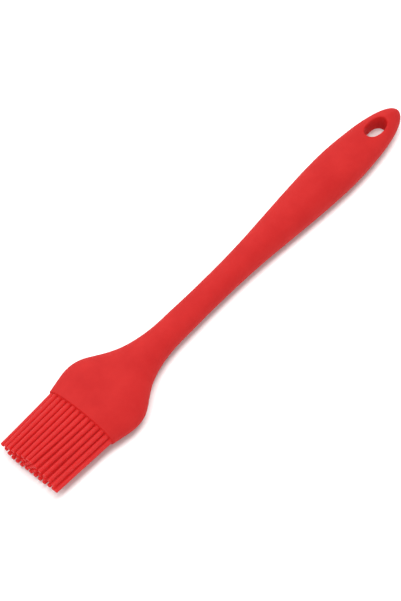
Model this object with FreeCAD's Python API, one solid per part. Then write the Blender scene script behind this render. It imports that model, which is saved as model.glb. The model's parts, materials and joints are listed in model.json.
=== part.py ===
import FreeCAD, Part
import math
import os

# Silicone pastry brush, millimetres, +Z up.
# The brush lies flat: +X runs from the bristle tips to the hanging hole, +Y across the width.
# Origin: centre of the footprint, on the plane that the brush rests on.
# In all names, "dist" is a distance along +X from the mouth of the handle.

Vector = FreeCAD.Vector

# ---- overall sizes --------------------------------------------------------
HANDLE_LENGTH = 225.8         # mouth of the handle to its rounded end
BRISTLE_REACH = 34.4          # mouth of the handle to the bristle tips
TOTAL_LENGTH = HANDLE_LENGTH + BRISTLE_REACH
HALF_THICK = 7.3              # half thickness at the flats of the head and the grip

X_TIP = -TOTAL_LENGTH / 2.0
X_MOUTH = X_TIP + BRISTLE_REACH
X_END = TOTAL_LENGTH / 2.0
Z_MID = HALF_THICK

# ---- handle ---------------------------------------------------------------
# (dist, half width) of the handle, before its end is rounded off
WIDTH_STATIONS = [
    (0.0, 19.62), (6.77, 21.02), (13.55, 22.14), (20.32, 21.13), (27.10, 16.94),
    (33.87, 12.80), (40.64, 10.08), (49.68, 7.98), (58.71, 7.10), (67.74, 7.03),
    (81.29, 6.75), (99.35, 6.85), (117.42, 7.52), (135.48, 8.84), (153.54, 10.18),
    (171.61, 11.24), (180.0, 11.44), (187.41, 11.24), (200.96, 10.05), (212.25, 9.24),
    (HANDLE_LENGTH, 8.90),
]
WIDTH_BLEND = 2.2             # smoothing length of the width profile
END_RUN = 25.875              # length of the rounded end in plan
END_ROUND = 9.0               # length over which the end rounds off in thickness
END_START = HANDLE_LENGTH - END_RUN

# (dist, half thickness) of the handle. The broad faces of the head and of the grip
# stand a little proud of HALF_THICK and are cut flat there.
THICK_STATIONS = [
    (0.0, 7.12), (5.0, 7.44), (18.0, 7.47), (24.0, 7.30), (34.0, 6.55), (46.0, 5.85),
    (60.0, 5.50), (76.0, 5.45), (95.0, 5.60), (113.0, 6.05), (132.0, 6.80), (148.0, 7.40),
    (156.0, 7.47), (168.0, 7.47), (178.0, 7.20), (190.0, 6.60), (203.0, 6.05),
    (212.0, 5.75), (219.0, 5.50), (HANDLE_LENGTH, 5.30),
]
THICK_BLEND = 3.0

# (dist, exponent of the oval section): boxier at the head, rounder along the neck
SQUARE_STATIONS = [
    (0.0, 2.20), (20.0, 2.32), (45.0, 2.15), (120.0, 2.12), (160.0, 2.25),
    (HANDLE_LENGTH, 2.25),
]
SQUARE_BLEND = 5.0

# dist of the sections that the outer skin runs through, up to the rounded end
SECTION_DISTS = [
    0.0, 2.0, 4.5, 7.5, 10.5, 13.5, 16.5, 19.5, 22.5, 25.5, 28.5, 31.5, 35.0, 39.0,
    43.5, 48.5, 54.0, 60.0, 68.0, 78.0, 90.0, 102.0, 113.0, 123.0, 132.0, 141.0,
    149.5, 157.5, 165.0, 172.0, 179.0, 185.0, 190.5, 195.5, 200.0, 204.0,
]
END_SPANS = 14                # sections crowd together from the last one to the end
END_CAP_INSET = 0.05          # the end cap has the section found this far before the end
HANDLE_POINTS = 44            # points round each section

# ---- socket in the mouth, filled by the plug of the bristle base ----------
SOCKET_HALF_WIDTH = 19.10
SOCKET_HALF_HEIGHT = 5.95
SOCKET_SQUARENESS = 2.10
SOCKET_DEPTH = 12.0
SOCKET_DRAFT = 0.90           # size at the bottom over size at the mouth
SOCKET_SPANS = 4
SOCKET_POINTS = 40
SOCKET_OVERCUT = 1.0          # the socket's cutter starts this far outside the mouth
PIECE_CLEARANCE = 0.05        # gap between neighbouring mouldings

# ---- stiff core in the handle, with a tongue that locks into the plug -----
CORE_START = SOCKET_DEPTH
CORE_END = 190.0
CORE_LEAD = 0.5               # the core's skin starts this far inside the socket
CORE_WIDTH_SHARE = 0.56       # share of the handle's half width
CORE_MAX_HALF_WIDTH = 9.5
CORE_THICK_SHARE = 0.52       # share of the handle's half thickness
CORE_SQUARENESS = 2.6
CORE_SPANS = 26
CORE_POINTS = 28
TONGUE_HALF_WIDTH = 8.0
TONGUE_HALF_HEIGHT = 1.2
TONGUE_DEPTH = 7.0
TONGUE_OVERLAP = 2.0          # length of the tongue's box beyond the core's front
X_CORE = X_MOUTH + CORE_START

# ---- hanging hole, an oval through the thickness --------------------------
HOLE_CENTRE = 208.6           # dist
HOLE_LENGTH = 13.7
HOLE_WIDTH = 7.9
HOLE_SQUARENESS = 2.25
HOLE_POINTS = 32
HOLE_OVERCUT = 2.0            # the cutter passes the resting plane and the top by this
HOLE_RIM_ROUND = 0.8
X_HOLE = X_MOUTH + HOLE_CENTRE

# ---- cutting boxes, larger than the brush ---------------------------------
BOX_WIDTH = 60.0
BOX_MARGIN = 10.0

# ---- bristles: a ring of them round an oval, and an inner group -----------
RING_COUNT = 26
RING_HALF_WIDTH = 17.85
RING_HALF_HEIGHT = 4.50
RING_SQUARENESS = 1.70
# (z, y values) of the staggered inner rows, mirrored in both directions
INNER_ROWS = [
    (2.14, (0.0, 2.86)),
    (0.00, (1.43, 4.29, 7.15, 10.00)),
]
ROOT_RADIUS = 1.10
TIP_RADIUS = 0.90
TIP_ROUND = 0.4               # rounding of the rim of a bristle's tip
TIP_SETBACK = 0.03            # shortening of each bristle along its own axis
TAPER_Y = 0.95                # bundle width at the tips over width at the roots
TAPER_Z = 0.93                # the same for the bundle's height
ROOT_GAP = 0.05               # gap between a bristle's ball end and the plug's face
X_ROOT = X_MOUTH - ROOT_RADIUS - ROOT_GAP


# ---- smoothed profile tables ----------------------------------------------
TABLE_STEP = 0.25
TABLE_START = -15.0           # dist of the first entry
TABLE_COUNT = int(round((HANDLE_LENGTH + 30.0) / TABLE_STEP)) + 1


def monotone_cubic(stations, x):
    """Monotone cubic interpolation of (position, value) pairs, straight beyond the ends."""
    xs = [station[0] for station in stations]
    ys = [station[1] for station in stations]
    n = len(xs)
    gaps = [xs[i + 1] - xs[i] for i in range(n - 1)]
    slopes = [(ys[i + 1] - ys[i]) / gaps[i] for i in range(n - 1)]
    tangents = [0.0] * n
    tangents[0], tangents[-1] = slopes[0], slopes[-1]
    for i in range(1, n - 1):
        # a peak or a trough keeps a level tangent
        if slopes[i - 1] * slopes[i] > 0:
            before = 2 * gaps[i] + gaps[i - 1]
            after = gaps[i] + 2 * gaps[i - 1]
            tangents[i] = (before + after) / (before / slopes[i - 1] + after / slopes[i])
    if x < xs[0]:
        return ys[0] + (x - xs[0]) * tangents[0]
    if x > xs[-1]:
        return ys[-1] + (x - xs[-1]) * tangents[-1]
    k = 0
    while k < n - 2 and x > xs[k + 1]:
        k += 1
    t = (x - xs[k]) / gaps[k]
    return ((1 + 2 * t) * (1 - t) ** 2 * ys[k] + t * (1 - t) ** 2 * gaps[k] * tangents[k]
            + t * t * (3 - 2 * t) * ys[k + 1] + t * t * (t - 1) * gaps[k] * tangents[k + 1])


def smooth_table(stations, blend):
    """Values at every TABLE_STEP, blurred by a Gaussian of standard deviation blend."""
    raw = [monotone_cubic(stations, TABLE_START + i * TABLE_STEP) for i in range(TABLE_COUNT)]
    reach = int(4 * blend / TABLE_STEP)
    kernel = [math.exp(-0.5 * (i * TABLE_STEP / blend) ** 2) for i in range(-reach, reach + 1)]
    total = sum(kernel)
    table = []
    for i in range(TABLE_COUNT):
        blurred = 0.0
        for j, weight in enumerate(kernel):
            source = min(max(i + j - reach, 0), TABLE_COUNT - 1)
            blurred += raw[source] * weight
        table.append(blurred / total)
    return table


WIDTH_TABLE = smooth_table(WIDTH_STATIONS, WIDTH_BLEND)
THICK_TABLE = smooth_table(THICK_STATIONS, THICK_BLEND)
SQUARE_TABLE = smooth_table(SQUARE_STATIONS, SQUARE_BLEND)


def lookup(table, dist):
    place = (dist - TABLE_START) / TABLE_STEP
    i = min(max(int(math.floor(place)), 0), TABLE_COUNT - 2)
    place -= i
    return table[i] * (1 - place) + table[i + 1] * place


# ---- handle form ----------------------------------------------------------
def half_width(dist, level=1.0):
    """Half width of the outline, or at a lower level of an oval nested inside it."""
    end_run = END_RUN - (1 - level) * END_ROUND
    end = min(max((dist - END_START) / end_run, 0.0), 1.0)
    return level * lookup(WIDTH_TABLE, dist) * math.sqrt(1 - end * end)


def half_thick(dist):
    return lookup(THICK_TABLE, dist)


def outwardness(dist, y):
    """Level of the nested oval through a point: 0 on the middle line, 1 on the outline."""
    y = abs(y)
    low, high = 0.0, 1.0
    for _ in range(40):
        middle = (low + high) / 2
        if half_width(dist, middle) > y:
            high = middle
        else:
            low = middle
    return (low + high) / 2


def skin_height(dist, y):
    """Height of the handle's skin above its middle plane."""
    power = lookup(SQUARE_TABLE, dist)
    return half_thick(dist) * (1 - outwardness(dist, y) ** power) ** (1 / power)


# ---- ovals and skins ------------------------------------------------------
def oval(half_a, half_b, power, count):
    """Points of a superellipse, evenly spaced by angle of the unit shape."""
    points = []
    for i in range(count):
        angle = 2.0 * math.pi * i / count
        cos, sin = math.cos(angle), math.sin(angle)
        radius = (abs(cos) ** power + abs(sin) ** power) ** (-1.0 / power)
        points.append((half_a * radius * cos, half_b * radius * sin))
    return points


def spread(half_a, half_b, power, count, dense_count=2880):
    """Points of a superellipse at even spacing along it, symmetric about both axes."""
    dense = []
    for i in range(dense_count + 1):
        angle = 2.0 * math.pi * i / dense_count
        cos, sin = math.cos(angle), math.sin(angle)
        dense.append((half_a * math.copysign(abs(cos) ** (2.0 / power), cos),
                      half_b * math.copysign(abs(sin) ** (2.0 / power), sin)))
    run = [0.0]
    for start, stop in zip(dense, dense[1:]):
        run.append(run[-1] + math.hypot(stop[0] - start[0], stop[1] - start[1]))
    points = []
    k = 0
    for i in range(count):
        target = run[-1] * i / count
        while run[k + 1] < target - 1e-12:
            k += 1
        share = (target - run[k]) / (run[k + 1] - run[k])
        start, stop = dense[k], dense[k + 1]
        points.append((start[0] + (stop[0] - start[0]) * share,
                       start[1] + (stop[1] - start[1]) * share))
    return points


def oval_ring(dist, half_a, half_b, power, count):
    """Oval section across the brush, centred on its axis."""
    return [(X_MOUTH + dist, y, Z_MID + z) for y, z in oval(half_a, half_b, power, count)]


def handle_ring(dist, x):
    """Outer section of the handle at dist, placed in the plane X = x."""
    outline = oval(half_width(dist), 1.0, lookup(SQUARE_TABLE, dist), HANDLE_POINTS)
    ring = []
    for i, (y, side) in enumerate(outline):
        on_outline = i in (0, HANDLE_POINTS // 2)
        z = 0.0 if on_outline else math.copysign(skin_height(dist, y), side)
        ring.append((x, y, Z_MID + z))
    return ring


def skin(rings):
    """Closed solid through matched rings of points: two half skins and two flat caps."""
    half = len(rings[0]) // 2
    faces = []
    for part in (0, 1):
        grid = []
        for ring in rings:
            closed = ring + [ring[0]]
            grid.append([Vector(*p) for p in closed[part * half:part * half + half + 1]])
        surface = Part.BSplineSurface()
        surface.interpolate(grid)
        faces.append(surface.toShape())
    caps = []
    for x in (rings[0][0][0], rings[-1][0][0]):
        edges = [edge for face in faces for edge in face.Edges
                 if abs(edge.BoundBox.XMin - x) < 1e-4 and abs(edge.BoundBox.XMax - x) < 1e-4]
        caps.append(Part.Face(Part.Wire(Part.__sortEdges__(edges))))
    shell = Part.makeShell(faces + caps)
    shell.sewShape()
    solid = Part.makeSolid(shell)
    if solid.Volume < 0:
        solid.reverse()
    return solid


def largest_solid(shape):
    return max(shape.Solids, key=lambda solid: solid.Volume)


# ---- shapes shared by neighbouring pieces ---------------------------------
def socket_plug(gap, lead):
    """Drafted oval plug from lead before the mouth inwards; gap shrinks it."""
    end = SOCKET_DEPTH - gap
    rings = []
    for i in range(SOCKET_SPANS + 1):
        dist = -lead + (end + lead) * i / SOCKET_SPANS
        scale = 1.0 - (1.0 - SOCKET_DRAFT) * dist / SOCKET_DEPTH
        rings.append(oval_ring(dist, SOCKET_HALF_WIDTH * scale - gap,
                               SOCKET_HALF_HEIGHT * scale - gap,
                               SOCKET_SQUARENESS, SOCKET_POINTS))
    return skin(rings)


def core_bar(grow):
    """Bar along the handle; with grow, the cavity that holds it."""
    rings = []
    for i in range(CORE_SPANS + 1):
        dist = CORE_START + (CORE_END - CORE_START) * i / CORE_SPANS
        half_a = min(CORE_WIDTH_SHARE * half_width(dist), CORE_MAX_HALF_WIDTH)
        half_b = CORE_THICK_SHARE * half_thick(dist)
        if i == 0:
            dist -= CORE_LEAD
        elif i == CORE_SPANS:
            dist += grow
        rings.append(oval_ring(dist, half_a + grow, half_b + grow,
                               CORE_SQUARENESS, CORE_POINTS))
    return skin(rings)


def tongue_box(grow):
    """The core's tongue; with grow, the slot that holds it."""
    half_a = TONGUE_HALF_WIDTH + grow
    half_b = TONGUE_HALF_HEIGHT + grow
    return Part.makeBox(TONGUE_DEPTH + TONGUE_OVERLAP, 2 * half_a, 2 * half_b,
                        Vector(X_CORE - TONGUE_DEPTH - grow, -half_a, Z_MID - half_b))


# ---- handle sleeve --------------------------------------------------------
def outer_body():
    dists = list(SECTION_DISTS)
    last = SECTION_DISTS[-1]
    for i in range(1, END_SPANS):
        dists.append(last + (HANDLE_LENGTH - last) * math.sin(math.pi / 2.0 * i / END_SPANS))
    rings = [handle_ring(dist, X_MOUTH + dist) for dist in dists]
    # the end closes on a cap about a millimetre across
    rings.append(handle_ring(HANDLE_LENGTH - END_CAP_INSET, X_END))
    return skin(rings)


def hanging_hole():
    outline = oval(HOLE_LENGTH / 2.0, HOLE_WIDTH / 2.0, HOLE_SQUARENESS, HOLE_POINTS)
    curve = Part.BSplineCurve()
    curve.interpolate([Vector(X_HOLE + x, y, -HOLE_OVERCUT) for x, y in outline],
                      PeriodicFlag=True)
    face = Part.Face(Part.Wire([curve.toShape()]))
    return face.extrude(Vector(0, 0, 2.0 * Z_MID + 2.0 * HOLE_OVERCUT))


def at_hole_rim(edge):
    """True for edges the size of the hole; those running through the thickness are taller."""
    box = edge.BoundBox
    y_limit = HOLE_WIDTH / 2 + 0.3
    return (abs((box.XMin + box.XMax) / 2 - X_HOLE) < HOLE_LENGTH
            and 0.5 < box.XLength < HOLE_LENGTH + 1
            and box.YMax < y_limit and box.YMin > -y_limit and box.ZLength < 3.0)


def round_hole_rims(shape):
    edges = [edge for edge in shape.Edges if at_hole_rim(edge)]
    for share in (1.0, 0.75, 0.5):
        # guards against a fillet that fails on the curved skin: a smaller one is tried
        try:
            rounded = shape.makeFillet(HOLE_RIM_ROUND * share, edges)
            if rounded.isValid() and rounded.Volume > 0:
                return rounded
        except Exception:
            pass
    return shape


def flattening_box(z):
    return Part.makeBox(TOTAL_LENGTH + 2 * BOX_MARGIN, BOX_WIDTH, BOX_MARGIN,
                        Vector(X_TIP - BOX_MARGIN, -BOX_WIDTH / 2, z))


def handle_sleeve():
    """Outer skin with hole, flats, socket and core cavity."""
    sleeve = round_hole_rims(outer_body().cut(hanging_hole()))
    sleeve = sleeve.cut(flattening_box(-BOX_MARGIN)).cut(flattening_box(2.0 * HALF_THICK))
    sleeve = sleeve.cut(socket_plug(gap=0.0, lead=SOCKET_OVERCUT))
    sleeve = sleeve.cut(core_bar(PIECE_CLEARANCE))
    return largest_solid(sleeve)


# ---- handle core and bristle base -----------------------------------------
def handle_core():
    """Bar behind the socket, with the tongue reaching through its floor into the plug."""
    behind = Part.makeBox(400.0, BOX_WIDTH, 40.0,
                          Vector(X_CORE + PIECE_CLEARANCE, -BOX_WIDTH / 2, -BOX_MARGIN))
    core = core_bar(0.0).common(behind).fuse(tongue_box(0.0)).removeSplitter()
    return largest_solid(core)


def bristle_base():
    """Plug in the socket, with a slot for the tongue."""
    plug = socket_plug(gap=PIECE_CLEARANCE, lead=0.0)
    return largest_solid(plug.cut(tongue_box(PIECE_CLEARANCE)))


# ---- bristles -------------------------------------------------------------
def mirrored(value):
    return (value, -value) if value > 0 else (value,)


def bristle_layout():
    """(y, z) of every bristle's root about the axis, ordered from +Y to -Y and top to bottom."""
    spots = spread(RING_HALF_WIDTH, RING_HALF_HEIGHT, RING_SQUARENESS, RING_COUNT)
    for row_z, row_ys in INNER_ROWS:
        for row_y in row_ys:
            spots += [(y, z) for y in mirrored(row_y) for z in mirrored(row_z)]
    # rounding makes mirrored spots tie exactly, so that the order is sure
    spots = [(round(y, 3), round(z, 3)) for y, z in spots]
    return sorted(spots, key=lambda spot: (-spot[0], -spot[1]))


def bristle(y, z):
    """Tapered round finger with a ball end at its root and a rounded rim at its tip."""
    root = Vector(X_ROOT, y, Z_MID + z)
    tip = Vector(X_TIP, y * TAPER_Y, Z_MID + z * TAPER_Z)
    length = (tip - root).Length - TIP_SETBACK
    taper = math.asin((ROOT_RADIUS - TIP_RADIUS) / length)
    # profile revolved about X; the ball end runs smoothly into the taper
    side_x = ROOT_RADIUS * math.sin(taper)
    side_radius = ROOT_RADIUS * math.cos(taper)
    rim_x = length - TIP_ROUND
    rim_radius = side_radius - (rim_x - side_x) * math.tan(taper)
    face_radius = rim_radius - TIP_ROUND
    diagonal = math.sin(math.pi / 4)
    ball_back = Vector(-ROOT_RADIUS, 0, 0)
    ball_middle = Vector(-ROOT_RADIUS * diagonal, ROOT_RADIUS * diagonal, 0)
    ball_side = Vector(side_x, side_radius, 0)
    rim_start = Vector(rim_x, rim_radius, 0)
    rim_middle = Vector(rim_x + TIP_ROUND * diagonal, face_radius + TIP_ROUND * diagonal, 0)
    face_edge = Vector(length, face_radius, 0)
    face_centre = Vector(length, 0, 0)
    edges = [Part.Arc(ball_back, ball_middle, ball_side).toShape(),
             Part.makeLine(ball_side, rim_start),
             Part.Arc(rim_start, rim_middle, face_edge).toShape(),
             Part.makeLine(face_edge, face_centre),
             Part.makeLine(face_centre, ball_back)]
    solid = Part.Face(Part.Wire(edges)).revolve(Vector(0, 0, 0), Vector(1, 0, 0), 360)
    turn = FreeCAD.Rotation(Vector(1, 0, 0), tip - root)
    solid.Placement = FreeCAD.Placement(root, turn)
    return solid


# ---- export ---------------------------------------------------------------
nodes = {
    "handle_sleeve": handle_sleeve(),
    "handle_core": handle_core(),
    "bristle_base": bristle_base(),
}
for number, (y, z) in enumerate(bristle_layout(), start=1):
    nodes["bristle_%02d" % number] = bristle(y, z)

os.makedirs("parts", exist_ok=True)
for name, shape in nodes.items():
    shape.exportStep("parts/%s.step" % name)
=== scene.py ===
"""A red silicone brush with a flattened handle over a nylon core, lying on a pale floor.

It lies along X on the plane z = 0: bristles towards -X, handle with its hanging hole towards +X,
width along Y. Sizes are in millimetres. Shapes are drawn from the middle of the handle's mouth,
where the bristles come out: x runs along the handle from there, z up from the middle plane.
"""
import json
import math
import random

import bmesh
import bpy
import numpy as np
from mathutils import Matrix, Vector

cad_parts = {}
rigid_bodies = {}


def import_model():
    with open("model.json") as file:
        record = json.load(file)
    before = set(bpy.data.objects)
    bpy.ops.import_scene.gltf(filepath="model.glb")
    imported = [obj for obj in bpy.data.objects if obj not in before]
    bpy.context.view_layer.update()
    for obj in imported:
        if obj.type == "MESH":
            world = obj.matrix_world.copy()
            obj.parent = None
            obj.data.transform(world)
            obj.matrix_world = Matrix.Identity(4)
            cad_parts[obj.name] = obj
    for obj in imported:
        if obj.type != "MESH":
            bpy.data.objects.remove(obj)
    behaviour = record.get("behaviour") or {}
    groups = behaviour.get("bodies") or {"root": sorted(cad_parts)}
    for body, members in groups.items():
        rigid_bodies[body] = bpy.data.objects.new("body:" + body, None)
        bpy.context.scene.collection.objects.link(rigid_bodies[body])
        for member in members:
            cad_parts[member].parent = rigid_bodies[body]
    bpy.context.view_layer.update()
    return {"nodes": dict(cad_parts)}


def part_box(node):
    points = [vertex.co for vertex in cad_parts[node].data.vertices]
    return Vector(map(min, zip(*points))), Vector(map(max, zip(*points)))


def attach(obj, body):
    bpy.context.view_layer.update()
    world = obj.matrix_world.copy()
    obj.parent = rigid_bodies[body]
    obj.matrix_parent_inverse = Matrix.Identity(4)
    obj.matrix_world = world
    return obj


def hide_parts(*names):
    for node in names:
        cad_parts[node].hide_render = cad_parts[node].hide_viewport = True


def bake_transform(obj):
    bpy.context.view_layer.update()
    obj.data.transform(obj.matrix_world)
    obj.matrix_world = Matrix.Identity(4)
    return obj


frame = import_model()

MM = 0.001
TOTAL = 260.2                   # whole brush
REACH = 34.4                    # bristles beyond the mouth
LENGTH = TOTAL - REACH          # handle
X_MOUTH = REACH - TOTAL / 2
HALF_T = 7.3                    # half of the greatest thickness
Z_MID = HALF_T

# ---------------------------------------------------------------- profile of the handle
# (distance from the mouth, half width)
WIDTHS = [
    (0.0, 19.62), (6.77, 21.02), (13.55, 22.14), (20.32, 21.13), (27.10, 16.94),
    (33.87, 12.80), (40.64, 10.08), (49.68, 7.98), (58.71, 7.10), (67.74, 7.03),
    (81.29, 6.75), (99.35, 6.85), (117.42, 7.52), (135.48, 8.84), (153.54, 10.18),
    (171.61, 11.24), (180.0, 11.44), (187.41, 11.24), (200.96, 10.05), (212.25, 9.24),
    (225.8, 8.90)]
# (distance from the mouth, half thickness)
THICKS = [
    (0.0, 7.12), (5.0, 7.44), (18.0, 7.47), (24.0, 7.30), (34.0, 6.55), (46.0, 5.85),
    (60.0, 5.50), (76.0, 5.45), (95.0, 5.60), (113.0, 6.05), (132.0, 6.80), (148.0, 7.40),
    (156.0, 7.47), (168.0, 7.47), (178.0, 7.20), (190.0, 6.60), (203.0, 6.05),
    (212.0, 5.75), (219.0, 5.50), (225.8, 5.30)]
# (distance from the mouth, exponent of the section's superellipse: 2 is an ellipse)
SQUARENESS = [
    (0.0, 2.20), (20.0, 2.32), (45.0, 2.15), (120.0, 2.12), (160.0, 2.25), (225.8, 2.25)]

END_RUN = 25.875                # length of the rounded end in plan
END_START = LENGTH - END_RUN
END_ROUND = 9.0                 # how much shorter that rounding is at the middle line
FLAT_LIMIT = HALF_T - 0.01      # height the broad faces level off at
FLAT_SOFTNESS = 0.07
FLAT_FROM = 6.0                 # lower heights are left as they are

GRID_STEP = 0.25
GRID_MARGIN = 15.0              # the profiles run on this far past both ends
GRID = np.arange(-GRID_MARGIN, LENGTH + GRID_MARGIN + 0.01, GRID_STEP)


def monotone_cubic(points, at):
    """A curve through the points without overshoot, carried on straight past both ends."""
    x, y = np.array(points).T
    step = np.diff(x)
    rise = np.diff(y) / step
    slope = np.zeros(len(x))
    slope[0], slope[-1] = rise[0], rise[-1]
    for i in range(1, len(x) - 1):
        if rise[i - 1] * rise[i] > 0:
            before = 2 * step[i] + step[i - 1]
            after = step[i] + 2 * step[i - 1]
            slope[i] = (before + after) / (before / rise[i - 1] + after / rise[i])
    inside = np.clip(at, x[0], x[-1])
    k = np.clip(np.searchsorted(x, inside, side="right") - 1, 0, len(x) - 2)
    t = (inside - x[k]) / step[k]
    curve = ((1 + 2 * t) * (1 - t) ** 2 * y[k] + t * (1 - t) ** 2 * step[k] * slope[k]
             + t * t * (3 - 2 * t) * y[k + 1] + t * t * (t - 1) * step[k] * slope[k + 1])
    return curve + (at - inside) * np.where(at < x[0], slope[0], slope[-1])


def smoothed(points, sigma):
    """The curve through the points on GRID, blurred by a Gaussian of width sigma."""
    reach = int(4 * sigma / GRID_STEP)
    kernel = np.exp(-0.5 * (np.arange(-reach, reach + 1) * GRID_STEP / sigma) ** 2)
    kernel /= kernel.sum()
    padded = np.pad(monotone_cubic(points, GRID), reach, mode="edge")
    return np.convolve(padded, kernel, mode="valid")


WIDTH_CURVE = smoothed(WIDTHS, sigma=2.2)
THICK_CURVE = smoothed(THICKS, sigma=3.0)
SQUARE_CURVE = smoothed(SQUARENESS, sigma=5.0)


def half_width(x, end_run=END_RUN):
    """Half width of the handle, its end rounded off over end_run."""
    end = np.clip((np.asarray(x, float) - END_START) / end_run, 0, 1)
    return np.interp(x, GRID, WIDTH_CURVE) * np.sqrt(1 - end * end)


def half_thick(x):
    return np.interp(x, GRID, THICK_CURVE)


def exponent(x):
    return np.interp(x, GRID, SQUARE_CURVE)


def outwardness(x, y):
    """How far out a point is between the middle line (0) and the outline (1), by bisection."""
    y = np.abs(y)
    low = np.zeros(np.broadcast(x, y).shape)
    high = np.ones_like(low)
    for _ in range(40):
        mid = (low + high) / 2
        beyond = mid * half_width(x, END_RUN - (1 - mid) * END_ROUND) > y
        high = np.where(beyond, mid, high)
        low = np.where(beyond, low, mid)
    return (low + high) / 2


def height(x, y):
    """Half thickness at a point of the plan, with softly flattened broad faces."""
    n = exponent(x)
    z = half_thick(x) * (1 - np.clip(outwardness(x, y), 0, 1) ** n) ** (1 / n)
    flattened = -FLAT_SOFTNESS * np.logaddexp(-z / FLAT_SOFTNESS, -FLAT_LIMIT / FLAT_SOFTNESS)
    return np.where(z > FLAT_FROM, flattened, z)


# ---------------------------------------------------------------- mesh helpers
class Skin:
    """Vertices and faces of one piece, grown ring by ring."""

    def __init__(self):
        self.verts = []
        self.faces = []
        self.last = None

    def ring(self, x, y, z):
        """Add a ring of points and return their indices."""
        start = len(self.verts)
        x, y, z = np.broadcast_arrays(x, y, z)
        self.verts += zip((X_MOUTH + x).tolist(), y.tolist(), (Z_MID + z).tolist())
        return list(range(start, len(self.verts)))

    def bridge(self, a, b):
        for i in range(len(a)):
            j = (i + 1) % len(a)
            self.faces.append((a[i], a[j], b[j], b[i]))

    def grow(self, x, y, z):
        """Add a ring and join it to the last one."""
        ring = self.ring(x, y, z)
        if self.last:
            self.bridge(self.last, ring)
        self.last = ring

    def cap(self):
        """Close the last ring with one face."""
        self.faces.append(tuple(self.last))

    def fan(self, x, y, z, flip=False):
        """Close the last ring with triangles round a middle point."""
        self.verts.append((X_MOUTH + x, y, Z_MID + z))
        middle = len(self.verts) - 1
        for i, a in enumerate(self.last):
            b = self.last[(i + 1) % len(self.last)]
            self.faces.append((middle, b, a) if flip else (middle, a, b))


def subdivide(ob, levels):
    """Replace the object's mesh by its subdivided form."""
    modifier = ob.modifiers.new("Subdivide", "SUBSURF")
    modifier.levels = modifier.render_levels = levels
    modifier.boundary_smooth = "PRESERVE_CORNERS"
    depsgraph = bpy.context.evaluated_depsgraph_get()
    fine = bpy.data.meshes.new_from_object(ob.evaluated_get(depsgraph))
    ob.modifiers.clear()
    coarse = ob.data
    ob.data = fine
    bpy.data.meshes.remove(coarse)
    fine.name = ob.name


def make_object(name, skin, levels=0):
    mesh = bpy.data.meshes.new(name)
    mesh.from_pydata([tuple(c * MM for c in vert) for vert in skin.verts], [], skin.faces)
    bm = bmesh.new()
    bm.from_mesh(mesh)
    bmesh.ops.recalc_face_normals(bm, faces=bm.faces)
    bm.to_mesh(mesh)
    bm.free()
    ob = bpy.data.objects.new(name, mesh)
    bpy.context.scene.collection.objects.link(ob)
    if levels:
        subdivide(ob, levels)
    ob.data.polygons.foreach_set("use_smooth", [True] * len(ob.data.polygons))
    # a negative volume means the faces point inwards
    bm = bmesh.new()
    bm.from_mesh(ob.data)
    if bm.calc_volume(signed=True) < 0:
        bmesh.ops.reverse_faces(bm, faces=bm.faces)
        bm.to_mesh(ob.data)
    bm.free()
    return ob


def oval_at(a, b, n, angles):
    """Points of a superellipse in the directions of the angles, as two rows."""
    c, s = np.cos(angles), np.sin(angles)
    r = (np.abs(c) ** n + np.abs(s) ** n) ** (-1 / n)
    return np.array((a * r * c, b * r * s))


def oval(a, b, n, count):
    return oval_at(a, b, n, 2 * np.pi * np.arange(count) / count)


# ---------------------------------------------------------------- handle sleeve
HALF_RING = 20                  # intervals across half a ring
RING_POINTS = 2 * HALF_RING

# hanging hole: middle, half length, half width, exponent, radius of its rounded rim
HOLE_X = 208.6
HOLE_A, HOLE_B, HOLE_N = 6.85, 3.95, 2.25
RIM = 0.8
TAIL_START = 189.0              # the patch round the hole runs from here to the end
TAIL_STEPS = 56                 # intervals along the patch's outline
TAIL_LOOPS = 9                  # loops from the outline in to the rim
TAIL_CAP = 3.0                  # last stretch of the outline, sampled more finely

SOCKET_A, SOCKET_B, SOCKET_N = 19.10, 5.95, 2.10
SOCKET_D = 12.0
SOCKET_DRAFT = 0.90             # size of the socket's floor against its mouth
LIP = 0.14                      # rounding of the mouth's outer edge
MOUTH_INSET = 0.05              # the mouth is this much thinner on each side
SOCKET_EDGE = 0.1               # rounding of the mouth's inner edge

CORE_END = 190.0
CORE_GAP = 0.06                 # cavity wall to core, and half a step at the cavity's end

# distances of the sections from the tail patch to the mouth
STATIONS = np.concatenate((
    np.linspace(TAIL_START, 42.0, 36), np.linspace(39.9, 4.2, 18), (1.5, 0.8)))


def socket_scale(x):
    """Size of the drafted socket at depth x against its mouth."""
    return 1 - (1 - SOCKET_DRAFT) * x / SOCKET_D


def section(x):
    """The outer section at x: from +Y over the top to -Y and back underneath."""
    y, _ = oval(half_width(x), 1.0, exponent(x), RING_POINTS)
    z = height(x, y)
    z[0] = z[HALF_RING] = 0.0
    z[HALF_RING + 1:] *= -1
    return y, z


def inset(ring, a, b, distance):
    """An oval ring moved inwards along its own normal."""
    n = exponent(0.0)
    radii = np.array(((a,), (b,)))
    normal = np.sign(ring) * np.abs(ring / radii) ** (n - 1) / radii
    return ring - distance * normal / np.hypot(*normal)


def cavity(x):
    """Section of the hollow that holds the core."""
    a = min(0.56 * half_width(x), 9.5) + CORE_GAP
    b = 0.52 * half_thick(x) + CORE_GAP
    return oval(a, b, 2.6, RING_POINTS)


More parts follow.
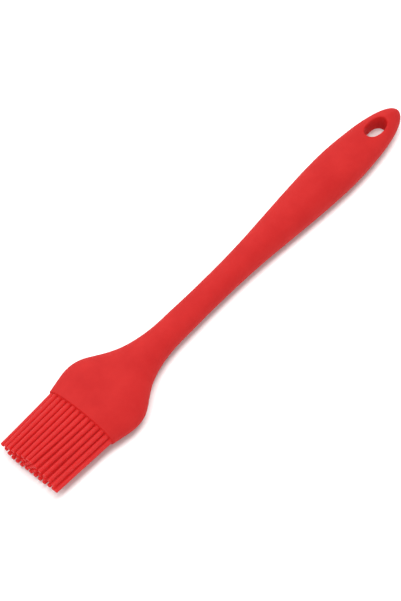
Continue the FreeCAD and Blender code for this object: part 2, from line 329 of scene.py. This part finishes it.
def build_mouth(skin):
    """Rounded lip, end face and socket wall."""
    a, b = half_width(0.0), half_thick(0.0) - MOUTH_INSET
    mouth = oval(a, b, exponent(0.0), RING_POINTS)
    for degrees in (0, 35, 65, 90):
        turn = math.radians(degrees)
        skin.grow(LIP * (1 - math.sin(turn)), *inset(mouth, a, b, LIP * (1 - math.cos(turn))))
    socket = oval(SOCKET_A, SOCKET_B, SOCKET_N, RING_POINTS)
    outer = inset(mouth, a, b, LIP)
    inner = inset(socket, SOCKET_A, SOCKET_B, -SOCKET_EDGE)
    for share in (0.35, 0.85, 1.0):
        skin.grow(0.0, *(outer + (inner - outer) * share))
    for x in (0.1, 0.5, 2.5, 6.0, 9.5, 11.6, SOCKET_D):
        skin.grow(x, *(socket * socket_scale(x)))


def build_cavity(skin):
    """Socket floor, then the core's cavity to its closed end."""
    floor_edge = oval(SOCKET_A, SOCKET_B, SOCKET_N, RING_POINTS) * SOCKET_DRAFT
    opening = cavity(SOCKET_D)
    for share in (0.08, 0.5, 0.92, 1.0):
        skin.grow(SOCKET_D, *(floor_edge + (opening - floor_edge) * share))
    end = CORE_END + 0.1
    for x in (SOCKET_D + 0.4, *np.linspace(16, CORE_END - 3, 30), CORE_END - 0.3, end):
        skin.grow(x, *cavity(min(x, CORE_END)))
    for share in (0.9, 0.5):
        skin.grow(end, *(cavity(CORE_END) * share))
    skin.cap()


def tail_outline():
    """Plan outline of the tail patch, from the -Y side round the end to the +Y side."""
    x = np.concatenate((
        np.linspace(TAIL_START, LENGTH - TAIL_CAP, 600, endpoint=False),
        LENGTH - TAIL_CAP * np.cos(np.linspace(0, math.pi / 2, 900))))
    y = half_width(x)
    y[-1] = 0.0
    x = np.concatenate((x, x[::-1][1:]))
    y = np.concatenate((-y, y[::-1][1:]))
    run = np.concatenate(([0], np.cumsum(np.hypot(np.diff(x), np.diff(y)))))
    # a little denser at the tight curve of the end
    weight = 1 + 1.2 * np.exp(-((run - run[-1] / 2) / 7.0) ** 2)
    total = np.concatenate(([0], np.cumsum((weight[1:] + weight[:-1]) / 2 * np.diff(run))))
    marks = np.interp(np.linspace(0, total[-1], TAIL_STEPS + 1), total, run)
    return np.array((np.interp(marks, run, x), np.interp(marks, run, y)))[:, 1:-1]


def section_angle(x, y):
    return np.arccos(np.clip(y / np.maximum(half_width(x), 1e-6), -1, 1))


def build_tail(skin, first_ring):
    """The closed end of the handle, with the hanging hole through it."""
    outline = tail_outline()
    across = section(TAIL_START)[0][:HALF_RING + 1]
    edge = np.hstack(((np.full(HALF_RING + 1, TAIL_START), across), outline))
    angles = np.arctan2(edge[1] / HOLE_B, (edge[0] - HOLE_X) / HOLE_A)

    def hole_edge(widen):
        return oval_at(HOLE_A + widen, HOLE_B + widen, HOLE_N, angles) + ((HOLE_X,), (0.0,))

    rim = hole_edge(RIM)
    edge_angle = section_angle(*edge)
    rim_angle = section_angle(*rim)
    # loops follow the handle's sections near the patch's start, and go straight near the end
    blend = np.clip((edge[0] - TAIL_START) / (LENGTH - 10 - TAIL_START), 0, 1)
    blend = blend * blend * (3 - 2 * blend)

    shared = skin.ring(*outline, 0.0)
    top = [first_ring[:HALF_RING + 1] + shared]
    bottom = [[first_ring[-k] for k in range(HALF_RING + 1)] + shared]
    for step in range(1, TAIL_LOOPS + 1):
        even = step / TAIL_LOOPS
        eased = 0.75 * (1 - math.cos(even * math.pi / 2)) + 0.25 * even * even
        x = edge[0] + (rim[0] - edge[0]) * even
        y = half_width(x) * np.cos(edge_angle + (rim_angle - edge_angle) * even)
        straight = edge + (rim - edge) * eased
        loop = np.array((x, y)) * (1 - blend) + straight * blend
        if step == TAIL_LOOPS:
            loop = rim
        z = height(*loop)
        top.append(skin.ring(*loop, z))
        bottom.append(skin.ring(*loop, -z))
    for loops in (top, bottom):
        for a, b in zip(loops, loops[1:]):
            skin.bridge(a, b)

    # down through the hole: upper rim, wall, lower rim
    rim_z = height(*rim)

    def grow_rim(degrees, side):
        turn = math.radians(degrees)
        z = rim_z - RIM * (1 - math.cos(turn))
        skin.grow(*hole_edge(RIM * (1 - math.sin(turn))), side * z)

    skin.last = top[-1]
    for degrees in (30, 60, 90):
        grow_rim(degrees, side=1)
    for share in (0.6, 0.2, -0.2, -0.6, -1.0):
        skin.grow(*hole_edge(0.0), (rim_z - RIM) * share)
    for degrees in (60, 30):
        grow_rim(degrees, side=-1)
    skin.bridge(skin.last, bottom[-1])


def build_sleeve():
    skin = Skin()
    for x in STATIONS:
        skin.grow(x, *section(x))
    build_mouth(skin)
    build_cavity(skin)
    build_tail(skin, first_ring=list(range(RING_POINTS)))
    return make_object("silicone_handle_sleeve", skin, levels=2)


# ---------------------------------------------------------------- bristle base
BASE_POINTS = 64
BASE_GAP = 0.05                 # play in the socket
FACE_INSET = 0.30               # the front face stops this far inside the sides
BASE_BACK = 11.93
BACK_INSET = 0.35
# front face, from its middle outwards: (x, share of the face's size)
BASE_FRONT = [(0.02, 0.30), (0.02, 0.60), (0.04, 0.80), (0.08, 0.92)]
# rounded front edge, drafted sides, rounded back edge: (x, inset)
BASE_SIDES = [
    (0.12, FACE_INSET), (0.17, 0.12), (0.30, 0.02), (0.62, 0.0), (4.0, 0.0), (8.0, 0.0),
    (11.2, 0.0), (11.7, 0.05), (BASE_BACK, BACK_INSET)]
SLOT_A, SLOT_B, SLOT_N = 8.15, 1.35, 6.0
SLOT_STATIONS = (11.6, 9.0, 5.4, 4.9)


def build_base():
    """The plug that fills the socket, with a slot in its back for the core's tongue."""
    skin = Skin()
    unit = oval(1.0, 1.0, SOCKET_N, BASE_POINTS)
    size = np.array(((SOCKET_A - BASE_GAP,), (SOCKET_B - BASE_GAP,)))
    for x, share in BASE_FRONT:
        skin.grow(x, *(unit * (size - FACE_INSET) * share))
        if not skin.faces:
            skin.cap()
    for x, depth in BASE_SIDES:
        skin.grow(x, *(unit * (size * socket_scale(x) - depth)))
    back = unit * (size * SOCKET_DRAFT - BACK_INSET)
    slot = oval(SLOT_A, SLOT_B, SLOT_N, BASE_POINTS)
    for share in (0.5, 1.0):
        skin.grow(BASE_BACK, *(back * (1 - share) + slot * share))
    for x in SLOT_STATIONS:
        skin.grow(x, *slot)
    skin.cap()
    return make_object("silicone_bristle_base", skin, levels=1)


# ---------------------------------------------------------------- bristles
BRISTLE_POINTS = 20
# outer row of roots: half width, half height, exponent, number of bristles
OUTER_A, OUTER_B, OUTER_N, OUTER_COUNT = 17.85, 4.50, 1.70, 26
# inner rows, mirrored in y and z: (z, ys)
INNER_ROWS = ((2.14, (0.0, 2.86)), (0.00, (1.43, 4.29, 7.15, 10.00)))
# roots inside a diamond of these half sizes get the thinner bristle
THIN_Y, THIN_Z = 17.0, 4.3
THICK_RADII = (1.24, 1.03)      # at the root, at the tip
THIN_RADII = (1.06, 0.90)
GATHER_Y, GATHER_Z = 0.945, 0.93    # tip position as a share of the root's

# sunk root and moulded fillet: (distance from the mouth, added to the root's radius)
ROOT_PROFILE = [
    (-1.3, -0.2), (-1.25, 0.03), (-0.6, 0.04), (0.0, 0.06), (0.14, 0.04), (0.34, 0.015),
    (0.7, 0.0)]
# softly domed tip: (distance short of the tip, taken off the tip's radius)
TIP_PROFILE = [(0.45, 0.002), (0.26, 0.035), (0.12, 0.13), (0.04, 0.30), (0.005, 0.55)]

# how the soft bristles have settled, by the root's y:
# (y, tip's lean in y on the top and bottom rows, reach on the top and bottom rows)
SETTLED = np.array([
    (-17.9, 0.05, 0.05, 34.95, 34.95),
    (-15.4, 0.10, 0.40, 34.30, 34.60),
    (-12.7, 0.05, 0.60, 34.00, 34.45),
    (-9.9, 0.50, 0.85, 33.90, 34.40),
    (-7.1, 0.80, 1.05, 33.80, 34.35),
    (-4.3, 0.98, 1.20, 33.60, 34.25),
    (-1.4, 1.08, 1.15, 33.30, 34.15),
    (1.4, 0.72, 1.05, 33.30, 34.15),
    (4.3, 0.46, 1.10, 33.60, 34.30),
    (7.1, 0.43, 1.00, 34.00, 34.45),
    (9.9, 0.55, 0.75, 34.20, 34.60),
    (12.7, 0.50, 0.55, 34.20, 34.40),
    (15.4, 0.18, 0.30, 34.00, 34.00),
    (17.9, 0.28, 0.28, 34.00, 34.00)])


def outer_row():
    """Roots evenly spaced along a superellipse."""
    angles = 2 * np.pi * np.arange(2881) / 2880
    c, s = np.cos(angles), np.sin(angles)
    y = OUTER_A * np.copysign(np.abs(c) ** (2 / OUTER_N), c)
    z = OUTER_B * np.copysign(np.abs(s) ** (2 / OUTER_N), s)
    run = np.concatenate(([0], np.cumsum(np.hypot(np.diff(y), np.diff(z)))))
    marks = run[-1] * np.arange(OUTER_COUNT) / OUTER_COUNT
    return list(zip(np.interp(marks, run, y), np.interp(marks, run, z)))


def bristle_roots():
    """Root positions (y, z), from +Y to -Y and from the top down."""
    roots = outer_row()
    for z, ys in INNER_ROWS:
        for y in ys:
            for side_y in ((1, -1) if y > 0 else (1,)):
                for side_z in ((1, -1) if z > 0 else (1,)):
                    roots.append((side_y * y, side_z * z))
    # adding 0.0 turns a negative zero positive
    roots = [(round(float(y), 3) + 0.0, round(float(z), 3) + 0.0) for y, z in roots]
    return sorted(roots, reverse=True)


def build_bristle(name, y, z, rng):
    """One tapered finger with a moulded fillet at its root and a softly domed tip."""
    top = min(1.0, max(0.0, z / OUTER_B * 0.5 + 0.5))
    lean_top, lean_low, reach_top, reach_low = (
        float(np.interp(y, SETTLED[:, 0], SETTLED[:, column])) for column in range(1, 5))
    length = reach_low * (1 - top) + reach_top * top + rng.uniform(-0.10, 0.10)
    lean = lean_low * (1 - top) + lean_top * top + rng.uniform(-0.05, 0.05)
    shift_y = y * GATHER_Y - y
    shift_z = z * GATHER_Z - z + rng.uniform(-0.05, 0.05)
    bow_y = rng.uniform(-0.06, 0.06)
    bow_z = rng.uniform(-0.05, 0.05)

    thin = abs(y) / THIN_Y + abs(z) / THIN_Z < 1.0
    root_radius, tip_radius = THIN_RADII if thin else THICK_RADII
    profile = [(out, root_radius + extra) for out, extra in ROOT_PROFILE]
    profile += [(float(out), float(root_radius - 0.01 + (tip_radius - root_radius) * out / length))
                for out in np.linspace(1.4, length - 0.9, 26)]
    profile += [(length - short, tip_radius - less) for short, less in TIP_PROFILE]

    skin = Skin()
    for out, radius in profile:
        along = max(0.0, min(1.0, out / length))
        bend = along * along * (1.5 - 0.5 * along)
        bow = math.sin(math.pi * along) * along
        middle_y = y + shift_y * along + lean * bend + bow_y * bow
        middle_z = z + shift_z * along + bow_z * bow
        circle = oval(radius, radius, 2, BRISTLE_POINTS)
        skin.grow(-out, *(circle + ((middle_y,), (middle_z,))))
        if not skin.faces:
            skin.fan(-out, middle_y, middle_z)
    skin.fan(-length, middle_y, middle_z, flip=True)
    return make_object(name, skin)


# ---------------------------------------------------------------- materials
def set_inputs(node, values):
    for key, value in values.items():
        node.inputs[key].default_value = value


def add_node(tree, kind, inputs=None, **settings):
    """A new node; inputs are keyed by name, or by index where names repeat."""
    node = tree.nodes.new(kind)
    for key, value in settings.items():
        setattr(node, key, value)
    set_inputs(node, inputs or {})
    return node


def add_ramp(tree, *stops):
    """A colour ramp with two (position, colour) stops."""
    ramp = add_node(tree, "ShaderNodeValToRGB")
    for element, (position, color) in zip(ramp.color_ramp.elements, stops):
        element.position = position
        element.color = color + (1,)
    return ramp


def new_material(name):
    material = bpy.data.materials.new(name)
    material.use_nodes = True
    tree = material.node_tree
    tree.nodes.clear()
    output = add_node(tree, "ShaderNodeOutputMaterial")
    shader = add_node(tree, "ShaderNodeBsdfPrincipled")
    tree.links.new(shader.outputs["BSDF"], output.inputs["Surface"])
    return material, tree, shader


def silicone(name, dark, light, roughness, roughness_swing, bump, specular,
             subsurface, depth, painted_gap_glow=None):
    """Cloudy silicone with a fine grain; depth is the subsurface scale in metres, and the optional
    emission colour paints light into the shaded gaps.
    """
    material, tree, shader = new_material(name)
    link = tree.links.new
    coords = add_node(tree, "ShaderNodeTexCoord")
    cloud = add_node(tree, "ShaderNodeTexNoise",
                     {"Scale": 75.0, "Detail": 4.0, "Roughness": 0.60})
    grain = add_node(tree, "ShaderNodeTexNoise",
                     {"Scale": 1500.0, "Detail": 4.0, "Roughness": 0.6})
    pores = add_node(tree, "ShaderNodeTexVoronoi", {"Scale": 2600.0})
    for texture in (cloud, grain, pores):
        link(coords.outputs["Object"], texture.inputs["Vector"])
    ramp = add_ramp(tree, (0.30, dark), (0.70, light))
    link(cloud.outputs["Fac"], ramp.inputs["Fac"])
    link(ramp.outputs["Color"], shader.inputs["Base Color"])
    sheen = add_node(tree, "ShaderNodeMapRange", {
        "To Min": roughness - roughness_swing, "To Max": roughness + roughness_swing})
    link(grain.outputs["Fac"], sheen.inputs["Value"])
    link(sheen.outputs["Result"], shader.inputs["Roughness"])
    # relief: pores at this share, plus the grain
    relief = add_node(tree, "ShaderNodeMath", {1: 0.35}, operation="MULTIPLY_ADD")
    link(pores.outputs["Distance"], relief.inputs[0])
    link(grain.outputs["Fac"], relief.inputs[2])
    normal = add_node(tree, "ShaderNodeBump", {"Strength": bump, "Distance": 0.00006})
    link(relief.outputs[0], normal.inputs["Height"])
    link(normal.outputs["Normal"], shader.inputs["Normal"])
    set_inputs(shader, {
        "Specular IOR Level": specular,
        "IOR": 1.41,
        "Subsurface Weight": subsurface,
        "Subsurface Radius": (1.0, 0.12, 0.08),
        "Subsurface Scale": depth})
    if painted_gap_glow:                                     # painted light: a faint red emission that brightens the shaded gaps between the thin fingers, standing in for light carried through the silicone
        set_inputs(shader, {"Emission Color": painted_gap_glow + (1,), "Emission Strength": 1.0})
    return material


def nylon():
    """Off-white nylon with flow marks drawn out along the handle."""
    material, tree, shader = new_material("natural_nylon")
    link = tree.links.new
    coords = add_node(tree, "ShaderNodeTexCoord")
    flow = add_node(tree, "ShaderNodeTexNoise", {"Scale": 240.0, "Detail": 3.0})
    stretch = add_node(tree, "ShaderNodeMapping", {"Scale": (0.15, 1.0, 1.0)})
    link(coords.outputs["Object"], stretch.inputs["Vector"])
    link(stretch.outputs["Vector"], flow.inputs["Vector"])
    ramp = add_ramp(tree, (0.0, (0.70, 0.68, 0.60)), (1.0, (0.80, 0.79, 0.73)))
    link(flow.outputs["Fac"], ramp.inputs["Fac"])
    link(ramp.outputs["Color"], shader.inputs["Base Color"])
    set_inputs(shader, {"Roughness": 0.48})
    normal = add_node(tree, "ShaderNodeBump", {"Strength": 0.25, "Distance": 0.00008})
    link(flow.outputs["Fac"], normal.inputs["Height"])
    link(normal.outputs["Normal"], shader.inputs["Normal"])
    return material


def pale_floor():
    """Nearly white to the camera, darker in the light it throws back at the brush."""
    material, tree, shader = new_material("pale_floor")
    paths = add_node(tree, "ShaderNodeLightPath")
    tone = add_node(tree, "ShaderNodeMapRange", {"To Min": 0.44, "To Max": 0.93})
    tree.links.new(paths.outputs["Is Camera Ray"], tone.inputs["Value"])
    tree.links.new(tone.outputs["Result"], shader.inputs["Base Color"])
    set_inputs(shader, {"Roughness": 0.85, "Specular IOR Level": 0.1})
    return material


def paint(ob, material):
    ob.data.materials.clear()
    ob.data.materials.append(material)


HANDLE_MAT = silicone(
    "matte_red_silicone", dark=(0.805, 0.0150, 0.0145), light=(0.885, 0.0245, 0.0220),
    roughness=0.62, roughness_swing=0.06, bump=0.35, specular=0.45,
    subsurface=0.10, depth=0.0012)
# the bristles' emission colour is painted light: it lifts the shade in the gaps between them
BRISTLE_MAT = silicone(
    "satin_red_silicone", dark=(0.715, 0.0165, 0.0165), light=(0.765, 0.0205, 0.0200),
    roughness=0.40, roughness_swing=0.05, bump=0.15, specular=0.40,
    subsurface=0.60, depth=0.0015, painted_gap_glow=(0.092, 0.0075, 0.0075))
NYLON_MAT = nylon()

# ---------------------------------------------------------------- pieces
for build, material, cad, slot_name in (
        (build_sleeve, HANDLE_MAT, "handle_sleeve", "silicone_handle"),
        (build_base, BRISTLE_MAT, "bristle_base", "silicone_bristles")):
    piece = build()
    paint(piece, material)
    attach(piece, "handle")
    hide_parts(cad)

core = frame["nodes"]["handle_core"]
paint(core, NYLON_MAT)

rng = random.Random(7)
for i, (y, z) in enumerate(bristle_roots(), start=1):
    cad = "bristle_%02d" % i
    low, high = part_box(cad)
    # the CAD bristle of this number has to stand at the same place
    assert abs((low.y + high.y) / 2 / MM - y * 0.97) < 0.6, cad
    piece = build_bristle("silicone_" + cad, y, z, rng)
    paint(piece, BRISTLE_MAT)
    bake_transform(piece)
    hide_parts(cad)


# ---------------------------------------------------------------- floor and world
def build_floor():
    mesh = bpy.data.meshes.new("floor")
    bm = bmesh.new()
    bmesh.ops.create_grid(bm, x_segments=8, y_segments=8, size=4.0)
    bm.to_mesh(mesh)
    bm.free()
    ob = bpy.data.objects.new("floor", mesh)
    bpy.context.scene.collection.objects.link(ob)
    paint(ob, pale_floor())
    return ob


def build_world():
    """An even white surround, a little brighter towards +Y."""
    world = bpy.data.worlds.new("studio")
    bpy.context.scene.world = world
    world.use_nodes = True
    tree = world.node_tree
    background = tree.nodes["Background"]
    set_inputs(background, {"Color": (1.0, 1.0, 1.0, 1)})
    coords = add_node(tree, "ShaderNodeTexCoord")
    # input 1 is the direction of the brighter side
    facing = add_node(tree, "ShaderNodeVectorMath", {1: (-0.10, 0.90, 0.42)},
                      operation="DOT_PRODUCT")
    tree.links.new(coords.outputs["Generated"], facing.inputs[0])
    strength = add_node(tree, "ShaderNodeMapRange", {
        "From Min": -1.0, "From Max": 1.0, "To Min": 0.66, "To Max": 0.79})
    tree.links.new(facing.outputs["Value"], strength.inputs["Value"])
    tree.links.new(strength.outputs["Result"], background.inputs["Strength"])


floor = build_floor()
build_world()


# ---------------------------------------------------------------- lights, in metres
def area_light(name, location, target, size, power, size_y=None):
    data = bpy.data.lights.new(name, "AREA")
    data.energy = power
    data.size = size
    if size_y:
        data.shape = "RECTANGLE"
        data.size_y = size_y
    ob = bpy.data.objects.new(name, data)
    ob.location = location
    aim = Vector(target) - Vector(location)
    ob.rotation_euler = aim.to_track_quat("-Z", "Y").to_euler()
    bpy.context.scene.collection.objects.link(ob)
    return ob


def light_only(light, name, objects):
    """Let the light fall on these objects alone."""
    receivers = bpy.data.collections.new(name)
    for ob in objects:
        receivers.objects.link(ob)
    light.light_linking.receiver_collection = receivers


area_light("key", location=(0.10, 0.80, 1.10), target=(0.0, 0.0, 0.0), size=1.1, power=2.75)

# a weak fill from the camera's direction: silicone this thin glows in its gaps
mouth = Vector((X_MOUTH, 0.0, Z_MID)) * MM
fill = area_light("bristle_fill", location=mouth + Vector((-0.386, -0.342, 0.857)),
                  target=(X_MOUTH * MM, 0.0, 0.0), size=0.30, power=1.2)
light_only(fill, "bristles_only",
           [ob for ob in bpy.data.objects if ob.name.startswith("silicone_bristle_")])

# an overhead softbox for the floor: it gives the narrow, soft contact shadow
table = area_light("table_softbox", location=(0.0, 0.015, 1.5), target=(0.0, 0.0, 0.0),
                   size=3.0, size_y=0.60, power=29.0)
light_only(table, "table_only", [floor])

# ---------------------------------------------------------------- camera
CAMERA_RIGHT = Vector((0.66278, -0.74882, 0.0))
CAMERA_BACK = Vector((-0.38592, -0.34158, 0.85696))
CAMERA_AIM = Vector((X_MOUTH + 104.8, -0.11, Z_MID))
# the camera's place from CAMERA_AIM, along its own axes
SHIFT_RIGHT, SHIFT_UP, DISTANCE = -15.52, -14.13, 1257.6


def build_camera():
    data = bpy.data.cameras.new("camera")
    data.sensor_width = 36.0
    data.sensor_fit = "AUTO"
    data.lens = 161.10749
    data.clip_start = 0.05
    data.clip_end = 20
    camera = bpy.data.objects.new("camera", data)
    bpy.context.scene.collection.objects.link(camera)
    up = CAMERA_BACK.cross(CAMERA_RIGHT).normalized()
    place = CAMERA_AIM + CAMERA_RIGHT * SHIFT_RIGHT + up * SHIFT_UP + CAMERA_BACK * DISTANCE
    turn = Matrix((CAMERA_RIGHT, up, CAMERA_BACK)).transposed()
    camera.matrix_world = Matrix.Translation(place * MM) @ turn.to_4x4()
    bpy.context.scene.camera = camera


build_camera()

view = bpy.context.scene.view_settings
view.view_transform = "Standard"
view.look = "None"
view.exposure = 0.0
view.gamma = 1.0
